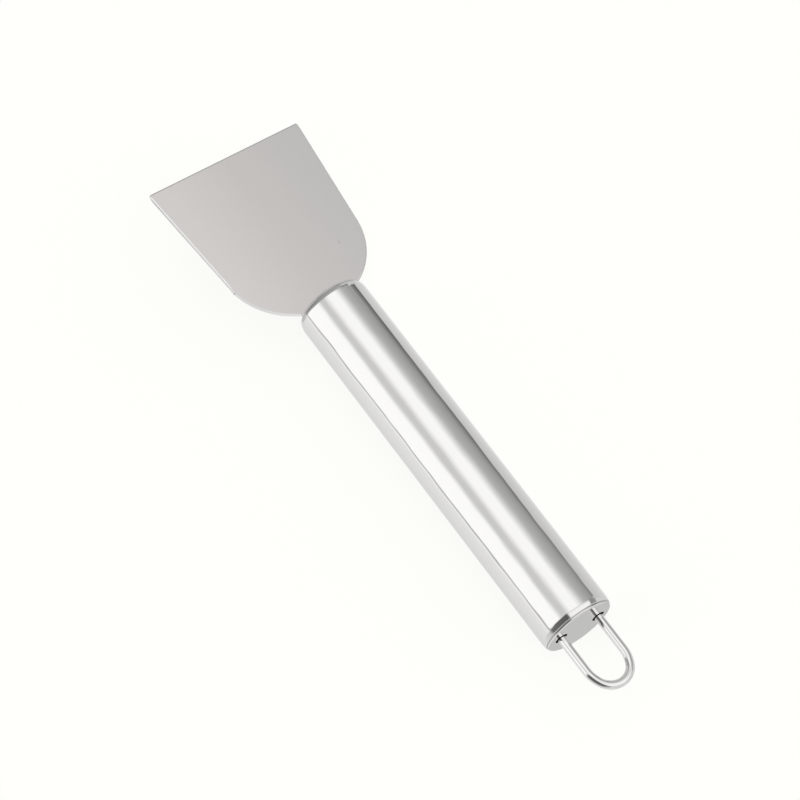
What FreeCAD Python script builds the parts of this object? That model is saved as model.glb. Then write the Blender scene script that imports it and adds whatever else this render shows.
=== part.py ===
import FreeCAD, Part
import math
import os
import Sketcher
from FreeCAD import Placement, Rotation, Vector

# A cleaning scraper of stainless steel: a sheet blade whose tang runs through a slotted cap into
# a closed tube handle, and a bent wire loop whose headed legs are caught behind the butt end's cap.
# The tool's own frame has X along the handle towards the blade, with 0 at the tube's butt end,
# Y across the blade and Z out of the blade's top face. The finished tool lies rolled on its
# handle, with one corner of the blade on the ground.

# Name, size in millimetres or degrees, and what it measures
DRIVING_SIZES = [
    ("handle_diameter", 22.0, "outside of the tube"),
    ("handle_wall", 0.8, "wall of the tube"),
    ("handle_length", 119.4, "tube from end to end"),
    ("rim_bevel_length", 1.3, "bevel at each end of the tube, along the axis"),
    ("rim_bevel_drop", 0.35, "the same bevel, across the axis"),
    ("cap_inset", 0.5, "rim of a cap inside the tube's outside"),
    ("cap_proud", 0.7, "face of a cap beyond the tube's end"),
    ("cap_edge_radius", 0.65, "rounding of a cap's outer edge"),
    ("cap_web", 0.9, "plate of a cap inside the tube"),
    ("spigot_depth", 4.0, "spigot of a cap into the tube"),
    ("spigot_wall", 0.8, "wall of the spigot"),
    ("spigot_clearance", 0.05, "gap between spigot and bore"),
    ("blade_thickness", 1.5, "sheet of the blade"),
    ("blade_length", 56.8, "front cap's face to the cutting edge"),
    ("edge_width", 52.1, "width at the cutting edge"),
    ("side_taper", 5.3, "each side against the axis, degrees"),
    ("flank_angle", 59.3, "each shoulder's flank against the axis, degrees"),
    ("shoulder_radius", 22.2, "rounding between flank and side"),
    ("corner_radius", 0.6, "rounding of the two corners at the edge"),
    ("shoulder_inset", 2.85, "corner of each shoulder inside the front cap's rim"),
    ("side_easing", 0.4, "edges of the flanks and sides taken off, above and below"),
    ("tang_side_gap", 2.75, "each side of the tang to the inside of the spigot"),
    ("tang_length", 26.0, "tang behind the shoulders"),
    ("blade_cant", 2.0, "blade raised towards its edge, degrees"),
    ("grind_length", 3.5, "ground bevel under the edge, along the blade"),
    ("edge_land", 0.4, "thickness left at the edge"),
    ("seat_clearance", 0.05, "gap between shoulders and cap"),
    ("slot_clearance", 0.1, "gap round the tang in its slot"),
    ("wire_diameter", 2.5, "wire of the loop"),
    ("loop_reach", 21.0, "tube's end to the top of the loop"),
    ("loop_nose_inset", 0.45, "centre of the wire at the tight bend's side, inside a leg's centre"),
    ("loop_flank_radius", 9.5, "wide bend between leg and tight bend, to the wire's centre"),
    ("loop_hole_clearance", 0.7, "gap round a leg in its hole"),
    ("loop_hole_inset", 1.1, "edge of that hole to the inside of the spigot"),
    ("leg_head_length", 1.0, "head upset on the end of a leg"),
    ("leg_head_overlap", 0.4, "head beyond the edge of the hole"),
    ("leg_head_clearance", 0.1, "gap between head and cap"),
]

# Sizes that follow from those: radii, and half widths on either side of the axis
OUTSIDE = "Sizes.handle_diameter / 2"
RIM = OUTSIDE + " - Sizes.rim_bevel_drop"
CAP_RIM = OUTSIDE + " - Sizes.cap_inset"
SPIGOT = OUTSIDE + " - Sizes.handle_wall - Sizes.spigot_clearance"
SPIGOT_INSIDE = SPIGOT + " - Sizes.spigot_wall"
TANG = SPIGOT_INSIDE + " - Sizes.tang_side_gap"
SHOULDER = CAP_RIM + " - Sizes.shoulder_inset"
WIRE = "Sizes.wire_diameter / 2"
LOOP_HOLE = WIRE + " + Sizes.loop_hole_clearance"
LEG_HEAD = LOOP_HOLE + " + Sizes.leg_head_overlap"
LEG = SPIGOT_INSIDE + " - Sizes.loop_hole_inset - Sizes.loop_hole_clearance - " + WIRE
LOOP_NOSE = LEG + " - Sizes.loop_nose_inset"
LOOP_NOSE_CENTRE = f"Sizes.loop_reach - {WIRE} - ({LOOP_NOSE})"
SLOT_HEIGHT = ("Sizes.blade_thickness / cos(Sizes.blade_cant * 1 deg) + 2 * (Sizes.slot_clearance"
               " + (Sizes.cap_proud + Sizes.cap_web) * tan(Sizes.blade_cant * 1 deg))")

document = FreeCAD.newDocument("CleaningScraper")


def makeSheet():
    sheet = document.addObject("Spreadsheet::Sheet", "Sizes")
    for row, (alias, size, meaning) in enumerate(DRIVING_SIZES, start=1):
        sheet.set(f"A{row}", meaning)
        sheet.set(f"B{row}", str(size))
        sheet.setAlias(f"B{row}", alias)
    document.recompute()
    return sheet


sizes = makeSheet()


def size(alias):
    return float(getattr(sizes, alias))


def worked(formula):
    return float(sizes.evalExpression(formula))


def slope(alias):
    return math.tan(math.radians(size(alias)))


# Sketches and features

def originPlane(body, role):
    return next(feature for feature in body.Origin.OriginFeatures if feature.Role == role)


def newBody(name):
    body = document.addObject("PartDesign::Body", name)
    body.Label = name
    return body


def newSketch(body, name, role):
    sketch = body.newObject("Sketcher::SketchObject", name)
    sketch.AttachmentSupport = (originPlane(body, role), [""])
    sketch.MapMode = "FlatFace"
    return sketch


ORIGIN = (-1, 1)


def drive(sketch, name, kind, places, formula):
    # One dimension of a sketch, named and tied to the sheet
    start = sketch.evalExpression(formula)
    value = start.getValueAs("rad").Value if kind == "Angle" else float(start)
    index = sketch.addConstraint(Sketcher.Constraint(kind, *places, value))
    sketch.renameConstraint(index, name)
    sketch.setExpression("Constraints." + name, formula)


def closedOutline(sketch, corners, directions):
    # Lines from corner to corner, each marked H, V or - for a line with a slope of its own
    count = len(corners)
    for index in range(count):
        start = Vector(*corners[index], 0)
        end = Vector(*corners[(index + 1) % count], 0)
        sketch.addGeometry(Part.LineSegment(start, end), False)
    for index in range(count):
        sketch.addConstraint(Sketcher.Constraint("Coincident", index, 2, (index + 1) % count, 1))
    for index, direction in enumerate(directions):
        if direction == "H":
            sketch.addConstraint(Sketcher.Constraint("Horizontal", index))
        if direction == "V":
            sketch.addConstraint(Sketcher.Constraint("Vertical", index))


def onAxis(sketch, index, point, axis):
    # A sketch counts its own horizontal axis as geometry -1 and its vertical one as -2
    geometry = -1 if axis == "lengthwise" else -2
    sketch.addConstraint(Sketcher.Constraint("PointOnObject", index, point, geometry))


def revolve(body, name, sketch):
    feature = body.newObject("PartDesign::Revolution", name)
    feature.Profile = sketch
    feature.ReferenceAxis = (sketch, ["H_Axis"])
    feature.Angle = 360
    document.recompute()
    return feature


def mirror(body, name, originals):
    feature = body.newObject("PartDesign::Mirrored", name)
    feature.Originals = originals
    feature.MirrorPlane = (originPlane(body, "XZ_Plane"), [""])
    body.Tip = feature
    document.recompute()
    return feature


def cutThrough(body, name, sketch):
    before = body.Shape.Volume
    feature = body.newObject("PartDesign::Pocket", name)
    feature.Profile = sketch
    feature.Type = "ThroughAll"
    feature.SideType = "Symmetric"
    document.recompute()
    if feature.Shape.Volume >= before:
        raise RuntimeError(name + " removes nothing")
    return feature


def workEdges(body, kind, name, formula, chosen):
    # Fillet or Chamfer on every edge of the body so far that the test picks out
    base = body.Tip
    edges = [f"Edge{index}" for index, edge in enumerate(base.Shape.Edges, start=1) if chosen(edge)]
    if not edges:
        raise RuntimeError(name + " finds no edge")
    feature = body.newObject("PartDesign::" + kind, name)
    feature.Base = (base, edges)
    feature.setExpression("Radius" if kind == "Fillet" else "Size", formula)
    document.recompute()
    return feature


def near(first, second):
    return abs(first - second) < 1e-5


def circleAt(along, radius):
    def chosen(edge):
        curve = edge.Curve
        return (isinstance(curve, Part.Circle)
                and near(curve.Radius, radius)
                and near(curve.Center.x, along))
    return chosen


def uprightAt(along, across):
    # Straight edge through the sheet at one place of its outline, on both sides of the axis
    def chosen(edge):
        middle = edge.CenterOfMass
        return (isinstance(edge.Curve, Part.Line)
                and near(middle.x, along)
                and near(abs(middle.y), across)
                and near(edge.BoundBox.ZLength, size("blade_thickness")))
    return chosen


# Handle tube

def makeHandleTube():
    body = newBody("handle_tube")
    outside = worked(OUTSIDE)
    bore = outside - size("handle_wall")
    length = size("handle_length")
    bevel = size("rim_bevel_length")
    rim = worked(RIM)
    wall = newSketch(body, "TubeWall", "XZ_Plane")
    corners = [(0, bore), (0, rim), (bevel, outside),
               (length - bevel, outside), (length, rim), (length, bore)]
    closedOutline(wall, corners, "V-H-VH")
    onAxis(wall, 0, 1, "crosswise")
    drive(wall, "outside", "DistanceY", (*ORIGIN, 2, 1), OUTSIDE)
    drive(wall, "wall", "DistanceY", (0, 1, 2, 1), "Sizes.handle_wall")
    drive(wall, "length", "DistanceX", (*ORIGIN, 4, 1), "Sizes.handle_length")
    drive(wall, "butt_bevel_length", "DistanceX", (1, 1, 1, 2), "Sizes.rim_bevel_length")
    drive(wall, "butt_rim", "DistanceY", (*ORIGIN, 1, 1), RIM)
    drive(wall, "front_bevel_length", "DistanceX", (3, 1, 3, 2), "Sizes.rim_bevel_length")
    drive(wall, "front_rim", "DistanceY", (*ORIGIN, 4, 1), RIM)
    revolve(body, "Tube", wall)
    return body


# Caps, each with its own X pointing into the tube and 0 at the tube's end

def makeCapBlank(name):
    body = newBody(name)
    rim = worked(CAP_RIM)
    proud = size("cap_proud")
    web = size("cap_web")
    depth = size("spigot_depth")
    spigot = worked(SPIGOT)
    inside = worked(SPIGOT_INSIDE)
    half = newSketch(body, name + "_section", "XZ_Plane")
    corners = [(-proud, 0), (-proud, rim), (0, rim), (0, spigot),
               (depth, spigot), (depth, inside), (web, inside), (web, 0)]
    closedOutline(half, corners, "VHVHVHVH")
    onAxis(half, 0, 1, "lengthwise")
    onAxis(half, 2, 1, "crosswise")
    drive(half, "proud", "DistanceX", (0, 1, *ORIGIN), "Sizes.cap_proud")
    drive(half, "rim", "DistanceY", (*ORIGIN, 1, 1), CAP_RIM)
    drive(half, "spigot", "DistanceY", (*ORIGIN, 3, 1), SPIGOT)
    drive(half, "inside", "DistanceY", (*ORIGIN, 5, 1), SPIGOT_INSIDE)
    drive(half, "depth", "DistanceX", (*ORIGIN, 4, 1), "Sizes.spigot_depth")
    drive(half, "web", "DistanceX", (*ORIGIN, 7, 1), "Sizes.cap_web")
    revolve(body, name + "_blank", half)
    workEdges(body, "Fillet", name + "_edge", "Sizes.cap_edge_radius", circleAt(-proud, rim))
    return body


def makeFrontCap():
    # The slot leaves room for the canted tang, which drops as it goes back through the cap
    body = makeCapBlank("front_cap")
    slotWidth = f"2 * ({TANG} + Sizes.slot_clearance)"
    halfWidth = worked(slotWidth) / 2
    halfHeight = worked(SLOT_HEIGHT) / 2
    slot = newSketch(body, "TangSlot", "YZ_Plane")
    corners = [(-halfWidth, -halfHeight), (halfWidth, -halfHeight),
               (halfWidth, halfHeight), (-halfWidth, halfHeight)]
    closedOutline(slot, corners, "HVHV")
    slot.addConstraint(Sketcher.Constraint("Symmetric", 0, 1, 2, 1, *ORIGIN))
    drive(slot, "width", "DistanceX", (0, 1, 0, 2), slotWidth)
    drive(slot, "height", "DistanceY", (1, 1, 1, 2), SLOT_HEIGHT)
    cutThrough(body, "TangSlotCut", slot)
    return body


def makeRearCap():
    body = makeCapBlank("rear_cap")
    holes = newSketch(body, "LoopHoles", "YZ_Plane")
    leg = worked(LEG)
    for index, (centre, places) in enumerate(((leg, (*ORIGIN, 0, 3)), (-leg, (1, 3, *ORIGIN)))):
        circle = Part.Circle(Vector(centre, 0, 0), Vector(0, 0, 1), worked(LOOP_HOLE))
        holes.addGeometry(circle, False)
        onAxis(holes, index, 3, "lengthwise")
        drive(holes, f"offset_{index}", "DistanceX", places, LEG)
        drive(holes, f"radius_{index}", "Radius", (index,), LOOP_HOLE)
    cutThrough(body, "LoopHolesCut", holes)
    return body


# Blade, with its own origin where its middle plane meets the front cap's face

def bladeKnee():
    # Where the flank of the shoulder and the side would meet if they weren't rounded
    seat = size("seat_clearance")
    shoulder = worked(SHOULDER)
    sideAtSeat = size("edge_width") / 2 - (size("blade_length") - seat) * slope("side_taper")
    along = (sideAtSeat - shoulder) / (slope("flank_angle") - slope("side_taper"))
    return seat + along, sideAtSeat + along * slope("side_taper")


def makeSheetOfBlade(body):
    length = size("blade_length")
    seat = size("seat_clearance")
    back = seat - size("tang_length")
    tang = worked(TANG)
    shoulder = worked(SHOULDER)
    knee = bladeKnee()
    edge = size("edge_width") / 2
    half = newSketch(body, "HalfOutline", "XY_Plane")
    corners = [(back, 0), (back, tang), (seat, tang), (seat, shoulder),
               knee, (length, edge), (length, 0)]
    closedOutline(half, corners, "VHV--VH")
    onAxis(half, 0, 1, "lengthwise")
    drive(half, "seat", "DistanceX", (*ORIGIN, 2, 1), "Sizes.seat_clearance")
    drive(half, "tang_length", "DistanceX", (0, 1, 2, 1), "Sizes.tang_length")
    drive(half, "tang", "DistanceY", (*ORIGIN, 1, 1), TANG)
    drive(half, "shoulder", "DistanceY", (*ORIGIN, 3, 1), SHOULDER)
    drive(half, "length", "DistanceX", (*ORIGIN, 6, 1), "Sizes.blade_length")
    drive(half, "edge", "DistanceY", (*ORIGIN, 5, 1), "Sizes.edge_width / 2")
    drive(half, "flank", "Angle", (3,), "Sizes.flank_angle * 1 deg")
    drive(half, "side", "Angle", (4,), "Sizes.side_taper * 1 deg")
    sheet = body.newObject("PartDesign::Pad", "HalfSheet")
    sheet.Profile = half
    sheet.SideType = "Symmetric"
    sheet.setExpression("Length", "Sizes.blade_thickness")
    document.recompute()
    mirror(body, "Sheet", [sheet])
    workEdges(body, "Fillet", "Shoulders", "Sizes.shoulder_radius", uprightAt(*knee))


def easeSides(body):
    # Flanks, shoulders and sides, all but the seat and the cutting edge
    face = size("blade_thickness") / 2
    shoulder = worked(SHOULDER)

    def chosen(edge):
        middle = edge.CenterOfMass
        return (near(abs(middle.z), face)
                and near(edge.BoundBox.ZLength, 0)
                and abs(middle.y) > shoulder)

    workEdges(body, "Chamfer", "EasedSides", "Sizes.side_easing", chosen)


def roundCorners(body):
    # What is ground off each corner: two straight sides, and an arc that runs into both
    length = size("blade_length")
    edge = size("edge_width") / 2
    radius = size("corner_radius")
    taper = math.radians(size("side_taper"))
    reach = radius / math.tan((math.pi / 2 - taper) / 2)
    onSide = Vector(length - reach * math.cos(taper), edge - reach * math.sin(taper), 0)
    corner = Vector(length, edge, 0)
    onEdge = Vector(length, edge - reach, 0)
    centre = Vector(length - radius, edge - reach, 0)
    waste = newSketch(body, "CornerWaste", "XY_Plane")
    waste.addGeometry(Part.LineSegment(onSide, corner), False)
    waste.addGeometry(Part.LineSegment(corner, onEdge), False)
    circle = Part.Circle(centre, Vector(0, 0, 1), radius)
    waste.addGeometry(Part.ArcOfCircle(circle, 0, math.pi / 2 + taper), False)
    waste.addConstraint(Sketcher.Constraint("Coincident", 0, 2, 1, 1))
    waste.addConstraint(Sketcher.Constraint("Tangent", 1, 2, 2, 1))
    waste.addConstraint(Sketcher.Constraint("Tangent", 2, 2, 0, 1))
    waste.addConstraint(Sketcher.Constraint("Vertical", 1))
    drive(waste, "side", "Angle", (0,), "Sizes.side_taper * 1 deg")
    drive(waste, "radius", "Radius", (2,), "Sizes.corner_radius")
    drive(waste, "length", "DistanceX", (*ORIGIN, 0, 2), "Sizes.blade_length")
    drive(waste, "edge", "DistanceY", (*ORIGIN, 0, 2), "Sizes.edge_width / 2")
    cutThrough(body, "CornerCut", waste)
    mirror(body, "Corners", [body.Tip])


def grindEdge(body):
    # Bevel on the underside, which leaves a thin land at the edge
    length = size("blade_length")
    start = length - size("grind_length")
    face = size("blade_thickness") / 2
    wedge = newSketch(body, "GrindWedge", "XZ_Plane")
    corners = [(start, -face), (length, -face), (length, face - size("edge_land"))]
    closedOutline(wedge, corners, "HV-")
    drive(wedge, "length", "DistanceX", (*ORIGIN, 1, 1), "Sizes.blade_length")
    drive(wedge, "underside", "DistanceY", (1, 1, *ORIGIN), "Sizes.blade_thickness / 2")
    drive(wedge, "run", "DistanceX", (0, 1, 0, 2), "Sizes.grind_length")
    drive(wedge, "rise", "DistanceY", (1, 1, 1, 2), "Sizes.blade_thickness - Sizes.edge_land")
    cutThrough(body, "Grind", wedge)


def makeBlade():
    body = newBody("blade")
    makeSheetOfBlade(body)
    easeSides(body)
    roundCorners(body)
    grindEdge(body)
    return body


# Hanging loop: half of the wire, from the top of the loop to the head of one leg, and its mirror image

def makeHangingLoop():
    body = newBody("hanging_loop")
    wire = worked(WIRE)
    leg = worked(LEG)
    nose = worked(LOOP_NOSE)
    flank = size("loop_flank_radius")
    legEnd = "Sizes.cap_web + Sizes.leg_head_clearance + Sizes.leg_head_length"
    meet = math.acos((flank - leg) / (flank - nose))
    noseCentre = -worked(LOOP_NOSE_CENTRE)
    flankCentre = noseCentre + (flank - nose) * math.sin(meet)
    up = Vector(0, 0, 1)
    quarter = math.pi / 2
    route = newSketch(body, "LoopRoute", "XY_Plane")
    noseCircle = Part.Circle(Vector(noseCentre, 0, 0), up, nose)
    flankCircle = Part.Circle(Vector(flankCentre, leg - flank, 0), up, flank)
    straight = Part.LineSegment(Vector(flankCentre, leg, 0), Vector(worked(legEnd), leg, 0))
    route.addGeometry(Part.ArcOfCircle(noseCircle, quarter + meet, math.pi), False)
    route.addGeometry(Part.ArcOfCircle(flankCircle, quarter, quarter + meet), False)
    route.addGeometry(straight, False)
    route.addConstraint(Sketcher.Constraint("Tangent", 0, 1, 1, 2))
    route.addConstraint(Sketcher.Constraint("Tangent", 1, 1, 2, 1))
    route.addConstraint(Sketcher.Constraint("Horizontal", 2))
    onAxis(route, 0, 3, "lengthwise")
    onAxis(route, 0, 2, "lengthwise")
    drive(route, "nose", "Radius", (0,), LOOP_NOSE)
    drive(route, "flank", "Radius", (1,), "Sizes.loop_flank_radius")
    drive(route, "reach", "DistanceX", (0, 3, *ORIGIN), LOOP_NOSE_CENTRE)
    drive(route, "leg", "DistanceY", (*ORIGIN, 2, 1), LEG)
    drive(route, "leg_end", "DistanceX", (*ORIGIN, 2, 2), legEnd)

    section = newSketch(body, "WireSection", "XZ_Plane")
    section.addGeometry(Part.Circle(Vector(noseCentre - nose, 0, 0), up, wire), False)
    onAxis(section, 0, 3, "lengthwise")
    drive(section, "top", "DistanceX", (0, 3, *ORIGIN), f"Sizes.loop_reach - {WIRE}")
    drive(section, "wire", "Radius", (0,), WIRE)
    document.recompute()
    half = body.newObject("PartDesign::AdditivePipe", "HalfWire")
    half.Profile = section
    half.Spine = (route, [f"Edge{index}" for index in range(1, len(route.Shape.Edges) + 1)])
    document.recompute()

    disc = newSketch(body, "HeadDisc", "YZ_Plane")
    disc.setExpression("AttachmentOffset.Base.z", "Sizes.cap_web + Sizes.leg_head_clearance")
    disc.addGeometry(Part.Circle(Vector(leg, 0, 0), up, worked(LEG_HEAD)), False)
    onAxis(disc, 0, 3, "lengthwise")
    drive(disc, "leg", "DistanceX", (*ORIGIN, 0, 3), LEG)
    drive(disc, "head", "Radius", (0,), LEG_HEAD)
    head = body.newObject("PartDesign::Pad", "LegHead")
    head.Profile = disc
    head.setExpression("Length", "Sizes.leg_head_length")
    document.recompute()
    mirror(body, "Wire", [half, head])
    return body


# Assembly

ROLL_TOLERANCE = 1e-6


def restingRoll(blade):
    # Turn the tool about its handle until the blade's lowest point is level with the handle's
    ground = -worked(OUTSIDE)
    least = 0.0
    most = 90.0
    while most - least > ROLL_TOLERANCE:
        middle = (least + most) / 2
        turned = blade.rotated(Vector(), Vector(1, 0, 0), middle)
        if turned.optimalBoundingBox(False, False).ZMin > ground:
            least = middle
        else:
            most = middle
    return (least + most) / 2


def placeAtRest(bodies):
    # Handle on the ground along X, with the origin below the middle of the whole tool
    front = Vector(size("handle_length"), 0, 0)
    seat = Vector(size("handle_length") + size("cap_proud"), 0, 0)
    inTool = {
        "handle_tube": Placement(),
        "rear_cap": Placement(),
        "hanging_loop": Placement(),
        "front_cap": Placement(front, Rotation(Vector(0, 0, 1), 180)),
        "blade": Placement(seat, Rotation(Vector(0, 1, 0), -size("blade_cant"))),
    }
    for body in bodies:
        body.Placement = inTool[body.Label]
    document.recompute()
    blade = next(body.Shape for body in bodies if body.Label == "blade")
    roll = Placement(Vector(), Rotation(Vector(1, 0, 0), restingRoll(blade)))
    for body in bodies:
        body.Placement = roll.multiply(body.Placement)
    document.recompute()
    box = Part.makeCompound([body.Shape for body in bodies]).optimalBoundingBox(False, False)
    shift = Placement(Vector(-box.Center.x, -box.Center.y, worked(OUTSIDE)), Rotation())
    for body in bodies:
        body.Placement = shift.multiply(body.Placement)
    document.recompute()


def checkDocument(bodies):
    for item in document.Objects:
        if "Invalid" in item.State or "Error" in item.State:
            raise RuntimeError(f"{item.Name} failed: {item.State}")
    for body in bodies:
        if body.Shape.isNull() or not body.Shape.isValid() or len(body.Shape.Solids) != 1:
            raise RuntimeError(f"{body.Label} isn't one valid solid")


bodies = [makeHandleTube(), makeFrontCap(), makeRearCap(), makeBlade(), makeHangingLoop()]
placeAtRest(bodies)
checkDocument(bodies)
os.makedirs("parts", exist_ok=True)
for body in bodies:
    body.Shape.exportStep(f"parts/{body.Label}.step")
    print(body.Label, "volume", round(body.Shape.Volume, 1))
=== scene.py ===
import math
import bmesh
import bpy
from mathutils import Matrix, Vector


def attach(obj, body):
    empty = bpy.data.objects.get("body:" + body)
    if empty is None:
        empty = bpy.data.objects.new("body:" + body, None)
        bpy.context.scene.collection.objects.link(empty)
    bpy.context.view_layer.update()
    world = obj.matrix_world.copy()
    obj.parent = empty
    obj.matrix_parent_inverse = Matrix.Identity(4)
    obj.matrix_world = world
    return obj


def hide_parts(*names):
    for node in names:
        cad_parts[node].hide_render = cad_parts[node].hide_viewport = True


# A cleaning scraper of stainless steel, lying on a white table under a light tent. It has a satin
# sheet blade, a polished tube handle with a cap at each end and a bent wire loop at the butt end.

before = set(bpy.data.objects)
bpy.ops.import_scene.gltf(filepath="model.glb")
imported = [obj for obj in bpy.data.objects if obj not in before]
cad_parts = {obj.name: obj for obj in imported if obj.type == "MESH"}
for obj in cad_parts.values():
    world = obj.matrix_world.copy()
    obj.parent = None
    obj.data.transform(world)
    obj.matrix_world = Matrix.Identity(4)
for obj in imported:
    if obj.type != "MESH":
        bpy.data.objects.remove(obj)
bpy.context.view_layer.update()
print("frame loaded")

# Sizes are written in millimetres and angles in degrees

metresPerMm = 0.001


# The tool's own frame, as it lies: X along the handle from the tube's butt end, Z out of the blade

tool = {
    "butt": Vector((-77.92659, 0.98161, 11.0)),
    "roll": 28.23033,
    "tubeLength": 119.4,
    "tubeRadius": 11.0,
    "capProud": 0.7,
    "bladeCant": 2.0,
}
toolFrame = Matrix.Translation(tool["butt"]) @ Matrix.Rotation(math.radians(tool["roll"]), 4, "X")
bladeFrame = (toolFrame @ Matrix.Translation((tool["tubeLength"] + tool["capProud"], 0, 0))
              @ Matrix.Rotation(math.radians(-tool["bladeCant"]), 4, "Y"))


def placeMesh(mesh, placement):
    # From the millimetres of the tool or the blade to where it lies, in metres
    mesh.transform(Matrix.Scale(metresPerMm, 4) @ placement)


def showPiece(mesh, name, node):
    piece = bpy.data.objects.new(name, mesh)
    bpy.context.collection.objects.link(piece)
    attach(piece, "root")
    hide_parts(node)


def roundedCorner(before, corner, after, radius, steps):
    # Points of the arc that rounds one corner of an outline
    toBefore = (before - corner).normalized()
    toAfter = (after - corner).normalized()
    half = toBefore.angle(toAfter) / 2
    centre = corner + (toBefore + toAfter).normalized() * (radius / math.sin(half))
    first = corner + toBefore * (radius / math.tan(half)) - centre
    last = corner + toAfter * (radius / math.tan(half)) - centre
    sweep = first.angle_signed(last)
    points = []
    for step in range(steps + 1):
        angle = -sweep * step / steps
        points.append(centre + Matrix.Rotation(angle, 2) @ first)
    return points


# Shader node groups

def nodeIn(tree, kind, settings=None, inputs=None):
    # One node, its settings, and its inputs as links or values
    node = tree.nodes.new(kind)
    for key, value in (settings or {}).items():
        setattr(node, key, value)
    for key, value in (inputs or {}).items():
        if isinstance(value, bpy.types.NodeSocket):
            tree.links.new(value, node.inputs[key])
        else:
            node.inputs[key].default_value = value
    return node


def newGroup(name, inputs, outputs, kind="ShaderNodeTree"):
    # An empty group with its sockets, and the nodes for what it is given and what it puts out
    tree = bpy.data.node_groups.new(name, kind)
    for socketName, socketKind, value in inputs:
        socket = tree.interface.new_socket(name=socketName, in_out="INPUT", socket_type=socketKind)
        if value is not None:
            socket.default_value = value
    for socketName, socketKind in outputs:
        tree.interface.new_socket(name=socketName, in_out="OUTPUT", socket_type=socketKind)
    return tree, tree.nodes.new("NodeGroupInput"), tree.nodes.new("NodeGroupOutput")


def mathNode(tree, operation, *values):
    node = nodeIn(tree, "ShaderNodeMath", {"operation": operation})
    for index, value in enumerate(values):
        if isinstance(value, bpy.types.NodeSocket):
            tree.links.new(value, node.inputs[index])
        else:
            node.inputs[index].default_value = value
    return node.outputs[0]


# How finely each pattern repeats along the handle, across it and upwards

fineness = {
    "waves": (0.45, 1.0, 1.0),
    "hairs": (60.0, 2400.0, 2400.0),
    "sheetGrain": (700.0, 2600.0, 2600.0),
}


def makePolishGroup():
    # Mirror polish: long soft waves from the wheel and a few hair marks, as a height
    tree, given, result = newGroup(
        "mirrorPolish",
        [("Vector", "NodeSocketVector", None),
         ("Wave Size", "NodeSocketFloat", 60.0),
         ("Wave Depth", "NodeSocketFloat", 0.5),
         ("Hair Depth", "NodeSocketFloat", 0.1)],
        [("Height", "NodeSocketFloat"), ("Haze", "NodeSocketFloat")])
    lengthened = nodeIn(tree, "ShaderNodeVectorMath", {"operation": "MULTIPLY"},
                        {0: given.outputs["Vector"], 1: fineness["waves"]})
    waves = nodeIn(tree, "ShaderNodeTexNoise", None,
                   {"Vector": lengthened.outputs[0], "Scale": given.outputs["Wave Size"],
                    "Detail": 1.0, "Roughness": 0.4})
    stretched = nodeIn(tree, "ShaderNodeVectorMath", {"operation": "MULTIPLY"},
                       {0: given.outputs["Vector"], 1: fineness["hairs"]})
    hairs = nodeIn(tree, "ShaderNodeTexNoise", None,
                   {"Vector": stretched.outputs[0], "Scale": 1.0, "Detail": 3.0, "Roughness": 0.6})
    waveHeight = mathNode(tree, "MULTIPLY", waves.outputs["Fac"], given.outputs["Wave Depth"])
    hairHeight = mathNode(tree, "MULTIPLY", hairs.outputs["Fac"], given.outputs["Hair Depth"])
    tree.links.new(mathNode(tree, "ADD", waveHeight, hairHeight), result.inputs["Height"])
    haze = nodeIn(tree, "ShaderNodeMapRange", None,
                  {"Value": hairs.outputs["Fac"], "From Min": 0.45, "From Max": 0.75,
                   "To Min": 0.0, "To Max": 1.0})
    tree.links.new(haze.outputs[0], result.inputs["Haze"])
    return tree


def makeSatinGroup():
    # Fine satin grain of rolled sheet: short grain across the blade, and a soft cloudiness
    tree, given, result = newGroup(
        "satinGrain",
        [("Vector", "NodeSocketVector", None)],
        [("Height", "NodeSocketFloat"), ("Grain", "NodeSocketFloat"), ("Cloud", "NodeSocketFloat")])
    stretched = nodeIn(tree, "ShaderNodeVectorMath", {"operation": "MULTIPLY"},
                       {0: given.outputs["Vector"], 1: fineness["sheetGrain"]})
    grain = nodeIn(tree, "ShaderNodeTexNoise", None,
                   {"Vector": stretched.outputs[0], "Scale": 1.0, "Detail": 4.0, "Roughness": 0.65})
    cloud = nodeIn(tree, "ShaderNodeTexNoise", None,
                   {"Vector": given.outputs["Vector"], "Scale": 45.0,
                    "Detail": 2.0, "Roughness": 0.5})
    tree.links.new(grain.outputs["Fac"], result.inputs["Height"])
    tree.links.new(grain.outputs["Fac"], result.inputs["Grain"])
    tree.links.new(cloud.outputs["Fac"], result.inputs["Cloud"])
    return tree


def makePaintedSeamShadeGroup():
    # Painted shade: a dark line in the gap where a cap meets the tube, at two places along the
    # handle
    tree, given, result = newGroup(
        "paintedSeamShade",
        [("Vector", "NodeSocketVector", None),
         ("Butt Seam", "NodeSocketFloat", 0.0),
         ("Front Seam", "NodeSocketFloat", 0.0),
         ("Core", "NodeSocketFloat", 0.0001),
         ("Fade", "NodeSocketFloat", 0.0003)],
        [("Shade", "NodeSocketFloat")])
    split = nodeIn(tree, "ShaderNodeSeparateXYZ", None, {0: given.outputs["Vector"]})
    away = []
    for end in ("Butt Seam", "Front Seam"):
        along = mathNode(tree, "SUBTRACT", split.outputs["X"], given.outputs[end])
        away.append(mathNode(tree, "ABSOLUTE", along))
    shade = nodeIn(tree, "ShaderNodeMapRange", {"interpolation_type": "SMOOTHSTEP"},
                   {"Value": mathNode(tree, "MINIMUM", *away), "From Min": given.outputs["Core"],
                    "From Max": given.outputs["Fade"], "To Min": 1.0, "To Max": 0.0})
    tree.links.new(shade.outputs[0], result.inputs["Shade"])
    return tree


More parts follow.
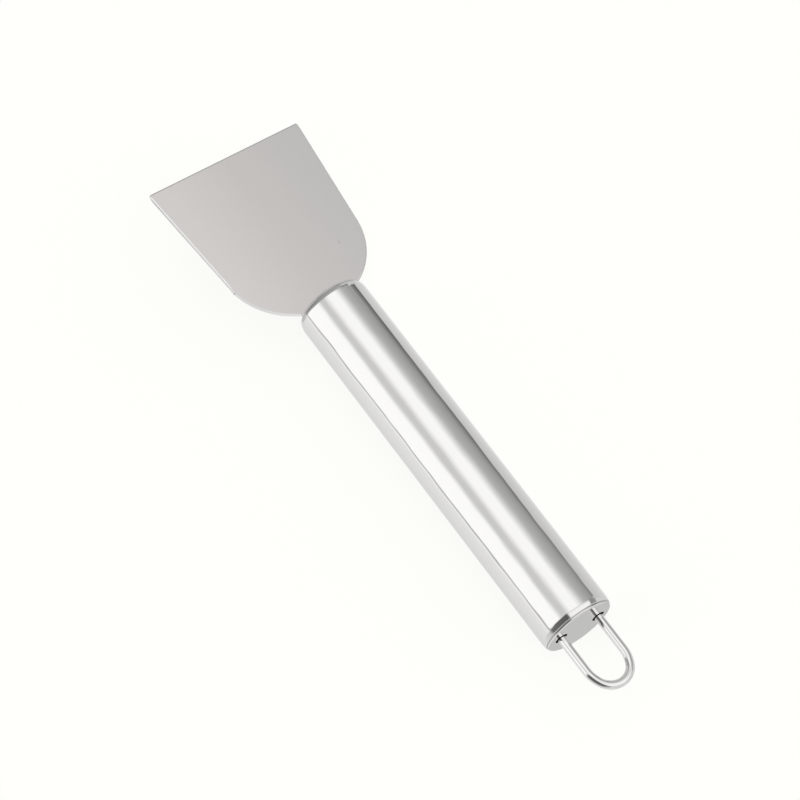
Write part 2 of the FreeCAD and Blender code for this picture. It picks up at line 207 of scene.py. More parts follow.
def makeMarkGroup():
    # One short mark on a surface: its middle, its direction, half its length and half its width.
    # It is full up to a part of each half, and fades from there.
    fullPart = 0.4
    tree, given, result = newGroup(
        "shortMark",
        [("Vector", "NodeSocketVector", None),
         ("Middle", "NodeSocketVector", None),
         ("Along", "NodeSocketVector", None),
         ("Half Length", "NodeSocketFloat", 0.001),
         ("Half Width", "NodeSocketFloat", 0.0001)],
        [("Mask", "NodeSocketFloat")])
    away = nodeIn(tree, "ShaderNodeVectorMath", {"operation": "SUBTRACT"},
                  {0: given.outputs["Vector"], 1: given.outputs["Middle"]})
    reach = nodeIn(tree, "ShaderNodeVectorMath", {"operation": "DOT_PRODUCT"},
                   {0: away.outputs[0], 1: given.outputs["Along"]})
    line = nodeIn(tree, "ShaderNodeVectorMath", {"operation": "SCALE"},
                  {0: given.outputs["Along"], "Scale": reach.outputs["Value"]})
    side = nodeIn(tree, "ShaderNodeVectorMath", {"operation": "DISTANCE"},
                  {0: away.outputs[0], 1: line.outputs[0]})
    lengthwise = mathNode(tree, "ABSOLUTE", reach.outputs["Value"])
    masks = []
    for value, limit in ((lengthwise, given.outputs["Half Length"]),
                         (side.outputs["Value"], given.outputs["Half Width"])):
        masks.append(nodeIn(tree, "ShaderNodeMapRange", {"interpolation_type": "SMOOTHSTEP"},
                            {"Value": value, "From Max": limit, "To Min": 1.0, "To Max": 0.0,
                             "From Min": mathNode(tree, "MULTIPLY", limit, fullPart)}).outputs[0])
    tree.links.new(mathNode(tree, "MULTIPLY", *masks), result.inputs["Mask"])
    return tree


polishGroup = makePolishGroup()
satinGroup = makeSatinGroup()
paintedSeamShadeGroup = makePaintedSeamShadeGroup()
markGroup = makeMarkGroup()


# Polished steel: painted shade, the colour darkened along the gaps near both ends of the tube, and
# each finish with its roughness where it is clear and where it is hazed, its waves and its hair
# marks

steelColour = (0.88, 0.875, 0.86)
# Painted shade at the gaps: how far behind each end it lies, its core and fade, and how dark it
# paints
seamShadePaint = {
    "behindButt": 0.16,
    "behindFront": 0.1,
    "core": 0.06,
    "fade": 0.26,
    "shade": 0.52,
}
polishes = {
    "polishedTubeSteel": {"clear": 0.045, "hazed": 0.08, "waveSize": 240.0, "waveDepth": 0.75,
                          "hairDepth": 0.05, "bump": 0.0001, "paintsSeamShade": True},
    "polishedCapSteel": {"clear": 0.09, "hazed": 0.16, "waveSize": 80.0, "waveDepth": 0.2,
                         "hairDepth": 0.1, "bump": 0.00005, "paintsSeamShade": True},
    "polishedWireSteel": {"clear": 0.08, "hazed": 0.12, "waveSize": 80.0, "waveDepth": 0.2,
                          "hairDepth": 0.1, "bump": 0.00005, "paintsSeamShade": False},
    "polishedEdgeSteel": {"clear": 0.13, "hazed": 0.2, "waveSize": 80.0, "waveDepth": 0.2,
                          "hairDepth": 0.2, "bump": 0.00005, "paintsSeamShade": False},
}


def makePolished(name):
    polish = polishes[name]
    material = bpy.data.materials.new(name)
    material.use_nodes = True
    tree = material.node_tree
    shader = tree.nodes["Principled BSDF"]
    shader.inputs["Base Color"].default_value = (*steelColour, 1)
    shader.inputs["Metallic"].default_value = 1.0
    coords = nodeIn(tree, "ShaderNodeTexCoord")
    # Painted shade: the colour darkens in the gaps where the caps meet the tube
    if polish["paintsSeamShade"]:
        buttEnd = tool["butt"].x
        frontEnd = buttEnd + tool["tubeLength"]
        seam = nodeIn(tree, "ShaderNodeGroup", {"node_tree": paintedSeamShadeGroup},
                      {"Vector": coords.outputs["Object"],
                       "Butt Seam": (buttEnd - seamShadePaint["behindButt"]) * metresPerMm,
                       "Front Seam": (frontEnd - seamShadePaint["behindFront"]) * metresPerMm,
                       "Core": seamShadePaint["core"] * metresPerMm, "Fade": seamShadePaint["fade"] * metresPerMm})
        shaded = nodeIn(tree, "ShaderNodeMix", {"data_type": "RGBA"},
                        {"Factor": seam.outputs["Shade"], 6: (*steelColour, 1),
                         7: (*[channel * seamShadePaint["shade"] for channel in steelColour], 1)})
        tree.links.new(shaded.outputs[2], shader.inputs["Base Color"])
    finish = nodeIn(tree, "ShaderNodeGroup", {"node_tree": polishGroup},
                    {"Vector": coords.outputs["Object"], "Wave Size": polish["waveSize"],
                     "Wave Depth": polish["waveDepth"], "Hair Depth": polish["hairDepth"]})
    rough = nodeIn(tree, "ShaderNodeMapRange", None,
                   {"Value": finish.outputs["Haze"], "To Min": polish["clear"],
                    "To Max": polish["hazed"]})
    tree.links.new(rough.outputs[0], shader.inputs["Roughness"])
    bumped = nodeIn(tree, "ShaderNodeBump", None,
                    {"Strength": 1.0, "Distance": polish["bump"],
                     "Height": finish.outputs["Height"]})
    tree.links.new(bumped.outputs["Normal"], shader.inputs["Normal"])
    return material


# Satin sheet: painted light, a colour that gets lighter from its right side over its middle to its
# left side; its grain and its cloudiness, and the one short mark on its top face

satin = {
    # Painted light: the colours of its right side, its middle and its left side, lighter where more
    # light falls
    "right": (0.765, 0.752, 0.736),
    "middle": (0.812, 0.777, 0.754),
    "left": (0.878, 0.85, 0.822),
    "half": 20.0,
    "cloudShare": 0.08,
    "grainTone": (0.97, 1.03),
    "grainStrength": 0.25,
    "grainBump": 0.00002,
    "roughness": (0.33, 0.39),
    "markMiddle": (15.75, -13.55, 0.75),
    "markAlong": (-1.0, 0.03, 0.0),
    "markHalfLength": 0.85,
    "markHalfWidth": 0.3,
    "markColour": (0.45, 0.44, 0.44),
    "markStrength": 0.35,
}


def makeSatin(name):
    material = bpy.data.materials.new(name)
    material.use_nodes = True
    tree = material.node_tree
    shader = tree.nodes["Principled BSDF"]
    shader.inputs["Metallic"].default_value = 1.0
    coords = nodeIn(tree, "ShaderNodeTexCoord")
    grain = nodeIn(tree, "ShaderNodeGroup", {"node_tree": satinGroup},
                   {"Vector": coords.outputs["Object"]})
    # Painted light: the colour gets lighter across the blade towards its left side, where more
    # light falls
    across = toolFrame.to_3x3() @ Vector((0, 1, 0))
    level = nodeIn(tree, "ShaderNodeVectorMath", {"operation": "DOT_PRODUCT"},
                   {0: coords.outputs["Object"], 1: across})
    middle = tool["butt"].dot(across) * metresPerMm
    half = satin["half"] * metresPerMm
    place = nodeIn(tree, "ShaderNodeMapRange", None,
                   {"Value": level.outputs["Value"],
                    "From Min": middle - half, "From Max": middle + half,
                    "To Min": -satin["cloudShare"] / 2, "To Max": 1 - satin["cloudShare"] / 2})
    clouded = mathNode(tree, "MULTIPLY_ADD", grain.outputs["Cloud"], satin["cloudShare"],
                       place.outputs[0])
    paintedLightTone = nodeIn(tree, "ShaderNodeValToRGB", None, {"Fac": clouded})
    paintedLightTone.color_ramp.elements[0].color = (*satin["right"], 1)
    paintedLightTone.color_ramp.elements[1].color = (*satin["left"], 1)
    paintedLightTone.color_ramp.elements.new(0.5).color = (*satin["middle"], 1)
    low, high = satin["grainTone"]
    grainTone = nodeIn(tree, "ShaderNodeMapRange", None,
                       {"Value": grain.outputs["Grain"], "To Min": low, "To Max": high})
    grained = nodeIn(tree, "ShaderNodeMix", {"data_type": "RGBA", "blend_type": "MULTIPLY"},
                     {"Factor": 1.0, 6: paintedLightTone.outputs["Color"], 7: grainTone.outputs[0]})
    markPlace = bladeFrame @ Vector(satin["markMiddle"]) * metresPerMm
    markTurn = (bladeFrame.to_3x3() @ Vector(satin["markAlong"])).normalized()
    mark = nodeIn(tree, "ShaderNodeGroup", {"node_tree": markGroup},
                  {"Vector": coords.outputs["Object"], "Middle": markPlace, "Along": markTurn,
                   "Half Length": satin["markHalfLength"] * metresPerMm,
                   "Half Width": satin["markHalfWidth"] * metresPerMm})
    shown = mathNode(tree, "MULTIPLY", mark.outputs["Mask"], satin["markStrength"])
    marked = nodeIn(tree, "ShaderNodeMix", {"data_type": "RGBA"},
                    {"Factor": shown, 6: grained.outputs[2], 7: (*satin["markColour"], 1)})
    tree.links.new(marked.outputs[2], shader.inputs["Base Color"])
    smoothest, roughest = satin["roughness"]
    rough = nodeIn(tree, "ShaderNodeMapRange", None,
                   {"Value": grain.outputs["Cloud"], "To Min": smoothest, "To Max": roughest})
    tree.links.new(rough.outputs[0], shader.inputs["Roughness"])
    bumped = nodeIn(tree, "ShaderNodeBump", None,
                    {"Strength": satin["grainStrength"], "Distance": satin["grainBump"],
                     "Height": grain.outputs["Height"]})
    tree.links.new(bumped.outputs["Normal"], shader.inputs["Normal"])
    return material


polishedTube = makePolished("polishedTubeSteel")
polishedCap = makePolished("polishedCapSteel")
polishedWire = makePolished("polishedWireSteel")
polishedEdge = makePolished("polishedEdgeSteel")
satinSheet = makeSatin("satinSheetSteel")
print("materials made")


# Blade: a sheet with rounded flanks, tapered sides, two small corners and a bevel ground under its
# edge. Between the two directions of plainFlank the easing of the left flank fades in.

blade = {
    "thickness": 1.5,
    "tangBack": -25.95,
    "tangHalf": 6.6,
    "seat": 0.05,
    "shoulderHalf": 7.65,
    "flankAngle": 59.3,
    "sideTaper": 5.3,
    "kneeRadius": 22.2,
    "length": 56.8,
    "edgeHalf": 26.05,
    "cornerRadius": 0.6,
    "easing": 0.4,
    "edgeEasing": (0.9, 0.18),
    "plainFlank": (101.0, 96.0),
    "grindLength": 3.5,
    "edgeLand": 0.4,
    "flankSteps": 40,
    "cornerSteps": 8,
    "shoulderTurn": 25,
    "flatTurn": 8,
    "easedTurn": (40, 50),
    "levelFace": 0.999,
    "mergeWithin": 1e-4,
}


def bladeOutline():
    # The outline from the tang's end, each point with how far in and how far down it is eased
    flank = math.tan(math.radians(blade["flankAngle"]))
    side = math.tan(math.radians(blade["sideTaper"]))
    shoulder = Vector((blade["seat"], blade["shoulderHalf"]))
    corner = Vector((blade["length"], blade["edgeHalf"]))
    reach = (corner.y - (corner.x - shoulder.x) * side - shoulder.y) / (flank - side)
    knee = shoulder + Vector((reach, reach * flank))
    middle = Vector((blade["length"], 0))
    tang = [(Vector((blade["tangBack"], blade["tangHalf"])), 0.0, 0.0),
            (Vector((blade["seat"], blade["tangHalf"])), 0.0, 0.0)]
    flankArc = roundedCorner(shoulder, knee, corner, blade["kneeRadius"], blade["flankSteps"])
    tipArc = roundedCorner(knee, corner, middle, blade["cornerRadius"], blade["cornerSteps"])
    halfway = blade["cornerSteps"] / 2
    tip = []
    for index, point in enumerate(tipArc):
        share = max(0, index - halfway) / halfway
        inward, down = (1.0 + (end - 1.0) * share for end in blade["edgeEasing"])
        tip.append((point, inward, down))
    # The left flank is cut plain, so its easing fades in along the arc
    plain, eased = blade["plainFlank"]
    left = tang + [(shoulder, 0.0, 0.0)]
    for index, point in enumerate(flankArc):
        bent = (blade["flankAngle"] - blade["sideTaper"]) * index / blade["flankSteps"]
        outward = 90 + blade["flankAngle"] - bent
        share = min(1.0, max(0.0, (plain - outward) / (plain - eased)))
        left.append((point, share, share))
    right = tang + [(shoulder, 1.0, 1.0)] + [(point, 1.0, 1.0) for point in flankArc] + tip
    return left + tip + [(Vector((point.x, -point.y)), inward, down)
                         for point, inward, down in reversed(right)]


def insetOutline(outline, distance):
    # The outline drawn in by a distance, less where its points are eased less
    count = len(outline)
    ring = []
    for index in range(count):
        point, weight = outline[index][:2]
        before = (point - outline[index - 1][0]).normalized()
        after = (outline[(index + 1) % count][0] - point).normalized()
        inward = (Vector((before.y, -before.x)) + Vector((after.y, -after.x))).normalized()
        turn = before.angle(after)
        if weight > 0 and turn > math.radians(blade["shoulderTurn"]):
            # The shoulder's own corner: it moves along the seat
            ring.append(point + Vector((0, -math.copysign(distance / math.sin(turn), point.y))))
        else:
            ring.append(point + inward * (distance * weight / math.cos(turn / 2)))
    return ring


def makeBladeMesh():
    outline = bladeOutline()
    half = blade["thickness"] / 2
    easing = blade["easing"]
    build = bmesh.new()
    rings = []
    for distance, face, drop in ((easing, 1, 0), (0, 1, easing), (0, -1, easing), (easing, -1, 0)):
        ring = []
        for point, place in zip(insetOutline(outline, distance), outline):
            height = half - drop * place[2]
            ring.append(build.verts.new((point.x, point.y, face * height)))
        rings.append(ring)
    count = len(outline)
    for upper, lower in zip(rings, rings[1:]):
        for index in range(count):
            following = (index + 1) % count
            build.faces.new((upper[index], upper[following], lower[following], lower[index]))
    build.faces.new(list(reversed(rings[0])))
    build.faces.new(rings[-1])
    bmesh.ops.remove_doubles(build, verts=build.verts, dist=blade["mergeWithin"])
    start = Vector((blade["length"] - blade["grindLength"], 0, -half))
    across = Vector((blade["thickness"] - blade["edgeLand"], 0, -blade["grindLength"]))
    cut = bmesh.ops.bisect_plane(build, geom=build.verts[:] + build.edges[:] + build.faces[:],
                                 plane_co=start, plane_no=across, clear_outer=True)
    rim = [item for item in cut["geom_cut"] if isinstance(item, bmesh.types.BMEdge)]
    bmesh.ops.contextual_create(build, geom=rim)
    bmesh.ops.recalc_face_normals(build, faces=build.faces)
    for face in build.faces:
        face.smooth = True
    # Easings read as rounded; the ground bevel, the edge and the plain corners stay crisp
    easedFrom, easedTo = blade["easedTurn"]
    for edge in build.edges:
        turn = math.degrees(edge.calc_face_angle(0.0))
        edge.smooth = turn < blade["flatTurn"] or easedFrom < turn < easedTo
    mesh = bpy.data.meshes.new("blade")
    build.to_mesh(mesh)
    build.free()
    shaped = bpy.data.objects.new("bladeShaped", mesh)
    bpy.context.collection.objects.link(shaped)
    weighting = shaped.modifiers.new("flatFaces", "WEIGHTED_NORMAL")
    weighting.keep_sharp = True
    weighting.weight = 100
    final = finalMesh(shaped, "bladeSheet")
    final.materials.clear()
    final.materials.append(satinSheet)
    final.materials.append(polishedEdge)
    for face in final.polygons:
        face.material_index = 0 if abs(face.normal.z) > blade["levelFace"] else 1
    placeMesh(final, bladeFrame)
    return final


def finalMesh(shaped, name):
    # The mesh that an object's modifiers make; the object itself goes
    bpy.context.view_layer.update()
    graph = bpy.context.evaluated_depsgraph_get()
    mesh = bpy.data.meshes.new_from_object(shaped.evaluated_get(graph))
    mesh.name = name
    bpy.data.objects.remove(shaped)
    return mesh


showPiece(makeBladeMesh(), "bladeSheet", "blade")
print("blade made")


# Handle tube: its wall's section carried round the axis on a small ring

tube = {
    "wall": 0.8,
    "bevelLength": 1.3,
    "bevelDrop": 0.35,
    "bevelBlend": 7.0,
    "lip": 0.28,
    "cornerSteps": 6,
    "segments": 192,
    "sweepRing": 1.0,
    "sharpAngle": 35,
}


def tubeSection():
    # Closed outline of the wall as points along and off the axis
    length = tool["tubeLength"]
    radius = tool["tubeRadius"]
    bore = radius - tube["wall"]
    rim = radius - tube["bevelDrop"]
    bevel = tube["bevelLength"]
    corners = [(Vector((0, bore)), None),
               (Vector((0, rim)), tube["lip"]),
               (Vector((bevel, radius)), tube["bevelBlend"]),
               (Vector((length - bevel, radius)), tube["bevelBlend"]),
               (Vector((length, rim)), tube["lip"]),
               (Vector((length, bore)), None)]
    points = []
    for index, (corner, rounding) in enumerate(corners):
        if rounding is None:
            points.append(corner)
        else:
            before = corners[index - 1][0]
            after = corners[index + 1][0]
            points += roundedCorner(before, corner, after, rounding, tube["cornerSteps"])
    return points


def loopMesh(name, points, closed):
    mesh = bpy.data.meshes.new(name)
    count = len(points)
    edges = [(index, (index + 1) % count) for index in range(count if closed else count - 1)]
    mesh.from_pydata(points, edges, [])
    return mesh


def geometryTree(name, inputs):
    return newGroup(name, [("Geometry", "NodeSocketGeometry", None)] + inputs,
                    [("Geometry", "NodeSocketGeometry")], "GeometryNodeTree")


def finishTree(tree, given, result, geometry):
    # Every tree ends so: instances made real, smooth faces and the piece's material
    real = nodeIn(tree, "GeometryNodeRealizeInstances", None, {0: geometry})
    smooth = nodeIn(tree, "GeometryNodeSetShadeSmooth", None, {"Geometry": real.outputs[0]})
    painted = nodeIn(tree, "GeometryNodeSetMaterial", None,
                     {"Geometry": smooth.outputs[0], "Material": given.outputs["Material"]})
    tree.links.new(painted.outputs[0], result.inputs["Geometry"])


def runTree(base, tree, values, name):
    # The tree on a base mesh, its inputs set by their sockets' identifiers
    shaped = bpy.data.objects.new(name + "Shaped", base)
    bpy.context.collection.objects.link(shaped)
    modifier = shaped.modifiers.new(name, "NODES")
    modifier.node_group = tree
    for item in tree.interface.items_tree:
        if item.item_type == "SOCKET" and item.in_out == "INPUT" and item.name in values:
            modifier[item.identifier] = values[item.name]
    return finalMesh(shaped, name)


def makeRevolveTree():
    # A closed section swept round a ring
    tree, given, result = geometryTree(
        "sectionRoundAxis",
        [("Segments", "NodeSocketInt", 96), ("Ring Radius", "NodeSocketFloat", 1.0),
         ("Material", "NodeSocketMaterial", None)])
    section = nodeIn(tree, "GeometryNodeMeshToCurve", None, {"Mesh": given.outputs["Geometry"]})
    ring = nodeIn(tree, "GeometryNodeCurvePrimitiveCircle", {"mode": "RADIUS"},
                  {"Resolution": given.outputs["Segments"], "Radius": given.outputs["Ring Radius"]})
    swept = nodeIn(tree, "GeometryNodeCurveToMesh", None,
                   {"Curve": ring.outputs["Curve"], "Profile Curve": section.outputs["Curve"]})
    finishTree(tree, given, result, swept.outputs["Mesh"])
    return tree


def makeTubeMesh():
    section = [(point.y - tube["sweepRing"], -point.x, 0) for point in tubeSection()]
    base = loopMesh("tubeSection", section, True)
    mesh = runTree(base, makeRevolveTree(),
                   {"Segments": tube["segments"], "Ring Radius": tube["sweepRing"],
                    "Material": polishedTube}, "tubeWall")
    # The sweep stands on end with its faces inward: it is laid along X and they are turned outward
    mesh.transform(Matrix(((0, 0, 1, 0), (1, 0, 0, 0), (0, 1, 0, 0), (0, 0, 0, 1))))
    mesh.flip_normals()
    mesh.set_sharp_from_angle(angle=math.radians(tube["sharpAngle"]))
    placeMesh(mesh, toolFrame)
    return mesh


showPiece(makeTubeMesh(), "handleTube", "handle_tube")
print("tube made")


# Hanging loop: one wire, up one leg, round the loop and down the other, with a head on each end

loop = {
    "wire": 1.25,
    "legHalf": 6.3,
    "noseRadius": 5.85,
    "flankRadius": 9.5,
    "reach": 21.0,
    "legEnd": 1.5,
    "headRadius": 2.35,
    "headLength": 1.0,
    "flankSteps": 12,
    "noseSteps": 24,
    "sides": 32,
    "sharpAngle": 50,
}


def loopRoute():
    # Middle of the wire: leg, wide bend, tight bend, and the same again the other way
    leg, nose, flank = loop["legHalf"], loop["noseRadius"], loop["flankRadius"]
    meet = math.acos((flank - leg) / (flank - nose))
    noseCentre = -(loop["reach"] - loop["wire"] - nose)
    flankCentre = noseCentre + (flank - nose) * math.sin(meet)
    flankSteps, noseSteps = loop["flankSteps"], loop["noseSteps"]
    half = [(loop["legEnd"], leg), (loop["legEnd"] / 2, leg), (0, leg), (flankCentre / 2, leg)]
    for step in range(flankSteps + 1):
        angle = math.pi / 2 + meet * step / flankSteps
        half.append((flankCentre + flank * math.cos(angle), leg - flank + flank * math.sin(angle)))
    for step in range(1, noseSteps + 1):
        angle = math.pi / 2 + meet + (math.pi / 2 - meet) * step / noseSteps
        half.append((noseCentre + nose * math.cos(angle), nose * math.sin(angle)))
    return half + [(along, -across) for along, across in reversed(half[:-1])]


def makeWireTree():
    # Round wire along a route, with a head on each of its ends
    tree, given, result = geometryTree(
        "wireWithHeads",
        [("Wire Radius", "NodeSocketFloat", 1.0), ("Sides", "NodeSocketInt", 24),
         ("Head Radius", "NodeSocketFloat", 2.0), ("Head Length", "NodeSocketFloat", 1.0),
         ("Material", "NodeSocketMaterial", None)])
    route = nodeIn(tree, "GeometryNodeMeshToCurve", None, {"Mesh": given.outputs["Geometry"]})
    section = nodeIn(tree, "GeometryNodeCurvePrimitiveCircle", {"mode": "RADIUS"},
                     {"Resolution": given.outputs["Sides"], "Radius": given.outputs["Wire Radius"]})
    wire = nodeIn(tree, "GeometryNodeCurveToMesh", None,
                  {"Curve": route.outputs["Curve"], "Profile Curve": section.outputs["Curve"],
                   "Fill Caps": True})
    head = nodeIn(tree, "GeometryNodeMeshCylinder", None,
                  {"Vertices": given.outputs["Sides"], "Radius": given.outputs["Head Radius"],
                   "Depth": given.outputs["Head Length"]})
    ends = nodeIn(tree, "GeometryNodeCurveEndpointSelection", None, {0: 1, 1: 1})
    tangent = nodeIn(tree, "GeometryNodeInputTangent")
    facing = nodeIn(tree, "FunctionNodeAlignRotationToVector", {"axis": "Z"},
                    {"Vector": tangent.outputs[0]})
    heads = nodeIn(tree, "GeometryNodeInstanceOnPoints", None,
                   {"Points": route.outputs["Curve"], "Selection": ends.outputs[0],
                    "Instance": head.outputs["Mesh"], "Rotation": facing.outputs[0]})
    joined = nodeIn(tree, "GeometryNodeJoinGeometry")
    tree.links.new(wire.outputs["Mesh"], joined.inputs[0])
    tree.links.new(heads.outputs["Instances"], joined.inputs[0])
    finishTree(tree, given, result, joined.outputs[0])
    return tree


def makeLoopMesh():
    base = loopMesh("loopRoute", [(along, across, 0) for along, across in loopRoute()], False)
    mesh = runTree(base, makeWireTree(),
                   {"Wire Radius": loop["wire"], "Sides": loop["sides"],
                    "Head Radius": loop["headRadius"], "Head Length": loop["headLength"],
                    "Material": polishedWire}, "loopWire")
    mesh.set_sharp_from_angle(angle=math.radians(loop["sharpAngle"]))
    placeMesh(mesh, toolFrame)
    return mesh


showPiece(makeLoopMesh(), "hangingLoop", "hanging_loop")
print("loop made")


# Caps: the frame's own pieces, painted

for name in ("front_cap", "rear_cap"):
    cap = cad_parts[name]
    cap.data.materials.clear()
    cap.data.materials.append(polishedCap)
print("caps painted")


# Light tent, as seen round the handle's axis: angles in degrees from straight up towards +Y,
# tilts in degrees towards the blade, and levels as the grey that polished steel shows there

shownBySteel = 0.88  # how much of the light polished steel gives back
plainGrey = 206  # where there is no card
plainTilt = 19.5  # where a leaning card has its written span
wrapAngle = -215.0  # where the angles round the axis begin
shownWhite = (0.99, 0.99, 0.96, 1)


def lightOf(grey):
    # The light that polished steel shows as this grey, from the curve of the screen
    shown = ((grey / 255 + 0.055) / 1.055) ** 2.4
    return shown / shownBySteel


def studioCard(name, around, tilt, level, edge, soft=2, skew=0):
    # A card's inputs: its span and tilts, its level at both ends of the span, how soft its sides
    # (edge) and its ends (soft) are, and how far its sides lean with the tilt
    return name, {"From": float(around[0]), "To": float(around[1]),
                  "Low": float(tilt[0]), "High": float(tilt[1]),
                  "Edge": float(edge), "Soft": float(soft), "Skew": float(skew),
                  "Level From": lightOf(level[0]), "Level To": lightOf(level[1])}


wholeTilt = (-90, 90)
buttSide = (-90, 4)
bladeSide = (37, 90)
cards = [
    studioCard("far wall", (77, 145), wholeTilt, (226, 211), edge=2),
    studioCard("table under, near side", (-215, -175), wholeTilt, (211, 231), edge=2),
    studioCard("table under, far side", (-175, -148), wholeTilt, (231, 210), edge=2),
    studioCard("table edge", (-148, -106.5), wholeTilt, (210, 193), edge=2.5, skew=-1.2),
    studioCard("room beside", (-106, -84), (-90, 29.5), (102, 160), edge=2, soft=3, skew=-1.2),
    studioCard("room above", (-90, -60), wholeTilt, (149, 176), edge=2),
    studioCard("tent's shaded side", (-60, -40), wholeTilt, (176, 233), edge=2),
    studioCard("strip light", (-40.5, 4), wholeTilt, (248, 246), edge=6),
    studioCard("gap in the tent", (-4, 30), wholeTilt, (201, 199), edge=12),
    studioCard("broad light", (22.5, 60), wholeTilt, (250, 251), edge=9),
    studioCard("broad light, far part", (48, 73.5), wholeTilt, (251, 251), edge=2, skew=0.5),
    studioCard("seam of the tent", (73.8, 77.2), wholeTilt, (165, 165), edge=1.5, skew=0.5),
    studioCard("light beside the seam", (79.5, 86), wholeTilt, (234, 228), edge=2, skew=0.5),
    studioCard("butt wall", (-215, 145), buttSide, (205, 205), edge=1),
    studioCard("butt wall, far side", (80, 145), (-65, 4), (198, 226), edge=3),
    studioCard("butt light", (-74, -2), (-58, 0), (244, 240), edge=6, soft=6),
    studioCard("butt side's shadow", (-97, -76), (-18, 7), (148, 130), edge=4, soft=5),
    studioCard("camera stand", (2, 76), (-62, 4), (158, 172), edge=5, soft=5),
    studioCard("camera stand, inner part", (2, 70), (-48, 4), (108, 104), edge=5, soft=5),
    studioCard("camera", (2, 52), (-26, 4), (84, 102), edge=5, soft=3),
    studioCard("table beyond the butt", (-215, -150), (-66, -33), (214, 216), edge=4),
    studioCard("table before the butt", (-215, -150), (-33, 4), (189, 189), edge=4),
    studioCard("blade wall", (-215, 145), bladeSide, (190, 200), edge=1),
    studioCard("blade wall, far side", (97, 145), (32.5, 90), (186, 190), edge=3),
    studioCard("blade wall, near side", (-130, -108), (29, 90), (192, 196), edge=2),
    studioCard("blade wall's shadow", (-80, 96), (38, 60), (162, 130), edge=5, soft=5),
    studioCard("blade wall's frame", (-96, -66), (33, 40), (136, 144), edge=3),
    studioCard("top of the blade wall", (-215, 145), (62, 90), (174, 178), edge=1),
]


def makeCardGroup():
    # One card of the tent, laid over the light of the cards under it
    tree, given, result = newGroup(
        "studioCard",
        [(name, "NodeSocketFloat", 0.0) for name in (
            "Under", "Around", "Tilt", "From", "To", "Low", "High", "Edge", "Soft", "Skew",
            "Level From", "Level To")],
        [("Light", "NodeSocketFloat")])

    def ramp(value, middle, width, rising):
        # A soft step up or down at a value
        low = mathNode(tree, "SUBTRACT", middle, width)
        high = mathNode(tree, "ADD", middle, width)
        node = nodeIn(tree, "ShaderNodeMapRange", {"interpolation_type": "SMOOTHSTEP"},
                      {"Value": value, "From Min": low, "From Max": high,
                       "To Min": 0.0 if rising else 1.0, "To Max": 1.0 if rising else 0.0})
        return node.outputs[0]

    tilt, edge, soft = (given.outputs[name] for name in ("Tilt", "Edge", "Soft"))
    offPlain = mathNode(tree, "SUBTRACT", tilt, plainTilt)
    lean = mathNode(tree, "MULTIPLY", offPlain, given.outputs["Skew"])
    around = mathNode(tree, "SUBTRACT", given.outputs["Around"], lean)
    sides = mathNode(tree, "MULTIPLY",
                     ramp(around, given.outputs["From"], edge, True),
                     ramp(around, given.outputs["To"], edge, False))
    ends = mathNode(tree, "MULTIPLY",
                    ramp(tilt, given.outputs["Low"], soft, True),
                    ramp(tilt, given.outputs["High"], soft, False))
    level = nodeIn(tree, "ShaderNodeMapRange", None,
                   {"Value": given.outputs["Around"], "From Min": given.outputs["From"],
                    "From Max": given.outputs["To"], "To Min": given.outputs["Level From"],
                    "To Max": given.outputs["Level To"]})
    mixed = nodeIn(tree, "ShaderNodeMix", None,
                   {"Factor": mathNode(tree, "MULTIPLY", sides, ends),
                    2: given.outputs["Under"], 3: level.outputs[0]})
    tree.links.new(mixed.outputs[0], result.inputs["Light"])
    return tree


def makeWorld():
    # Each card lies over the ones before it in the list. The camera itself sees plain white.
    world = bpy.data.worlds.new("lightTent")
    bpy.context.scene.world = world
    world.use_nodes = True
    tree = world.node_tree
    tree.nodes.clear()
    coords = nodeIn(tree, "ShaderNodeTexCoord")
    split = nodeIn(tree, "ShaderNodeSeparateXYZ", None, {0: coords.outputs["Generated"]})
    turned = mathNode(tree, "ARCTAN2", split.outputs["Y"], split.outputs["Z"])
    around = mathNode(tree, "DEGREES", turned)
    wrapped = mathNode(tree, "WRAP", around, wrapAngle + 360, wrapAngle)
    tilt = mathNode(tree, "DEGREES", mathNode(tree, "ARCSINE", split.outputs["X"]))
    group = makeCardGroup()
    light = lightOf(plainGrey)
    for name, values in cards:
        card = nodeIn(tree, "ShaderNodeGroup", {"node_tree": group, "label": name},
                      {"Under": light, "Around": wrapped, "Tilt": tilt, **values})
        light = card.outputs["Light"]
    path = nodeIn(tree, "ShaderNodeLightPath")
    tent = nodeIn(tree, "ShaderNodeBackground", None, {"Color": light})
    white = nodeIn(tree, "ShaderNodeBackground", None, {"Color": shownWhite})
    mixed = nodeIn(tree, "ShaderNodeMixShader", None,
                   {0: path.outputs["Is Camera Ray"], 1: tent.outputs[0], 2: white.outputs[0]})
    output = nodeIn(tree, "ShaderNodeOutputWorld")
    tree.links.new(mixed.outputs[0], output.inputs["Surface"])


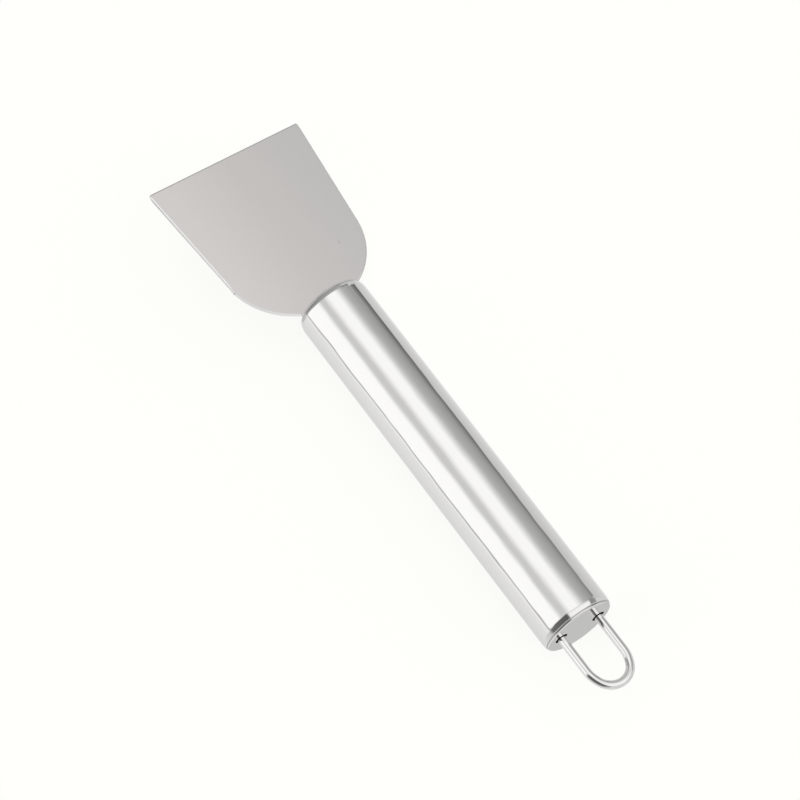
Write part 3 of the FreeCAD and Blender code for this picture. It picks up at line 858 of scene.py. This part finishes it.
makeWorld()
print("world made")


# Table: a plain white floor that the polished steel sees as part of the tent

whiteTable = {
    "half": 3.0,
    "plain": (0.22, 0.22, 0.212, 1),
    "glow": (0.857, 0.857, 0.827, 1),
}


def makeTable():
    mesh = bpy.data.meshes.new("table")
    half = whiteTable["half"]
    mesh.from_pydata([(-half, -half, 0), (half, -half, 0), (half, half, 0), (-half, half, 0)],
                     [], [(0, 1, 2, 3)])
    table = bpy.data.objects.new("table", mesh)
    bpy.context.collection.objects.link(table)
    material = bpy.data.materials.new("whiteTable")
    material.use_nodes = True
    tree = material.node_tree
    tree.nodes.clear()
    diffuse = nodeIn(tree, "ShaderNodeBsdfDiffuse", None, {"Color": whiteTable["plain"]})
    glow = nodeIn(tree, "ShaderNodeEmission", None, {"Color": whiteTable["glow"], "Strength": 1.0})
    added = nodeIn(tree, "ShaderNodeAddShader", None, {0: diffuse.outputs[0], 1: glow.outputs[0]})
    output = nodeIn(tree, "ShaderNodeOutputMaterial")
    tree.links.new(added.outputs[0], output.inputs["Surface"])
    mesh.materials.append(material)
    table.visible_glossy = False


makeTable()
print("table made")


# Camera: nearly overhead, turned so that the tool crosses the picture

camera = {
    "place": (-262.797, -59.274, 708.381),
    "right": (-0.569022, -0.770665, -0.286862),
    "up": (0.740268, -0.631966, 0.229394),
    "back": (-0.358073, -0.081824, 0.930101),
    "lens": 119.25,
    "sensor": 36.0,
    "near": 0.01,
    "far": 20.0,
}


def makeCamera():
    lens = bpy.data.cameras.new("camera")
    lens.lens = camera["lens"]
    lens.sensor_width = camera["sensor"]
    lens.clip_start = camera["near"]
    lens.clip_end = camera["far"]
    stand = bpy.data.objects.new("camera", lens)
    bpy.context.collection.objects.link(stand)
    turn = Matrix((camera["right"], camera["up"], camera["back"])).transposed()
    stand.matrix_world = Matrix.Translation(Vector(camera["place"]) * metresPerMm) @ turn.to_4x4()
    bpy.context.scene.camera = stand


makeCamera()
bpy.context.scene.view_settings.view_transform = "Standard"
print("camera set")
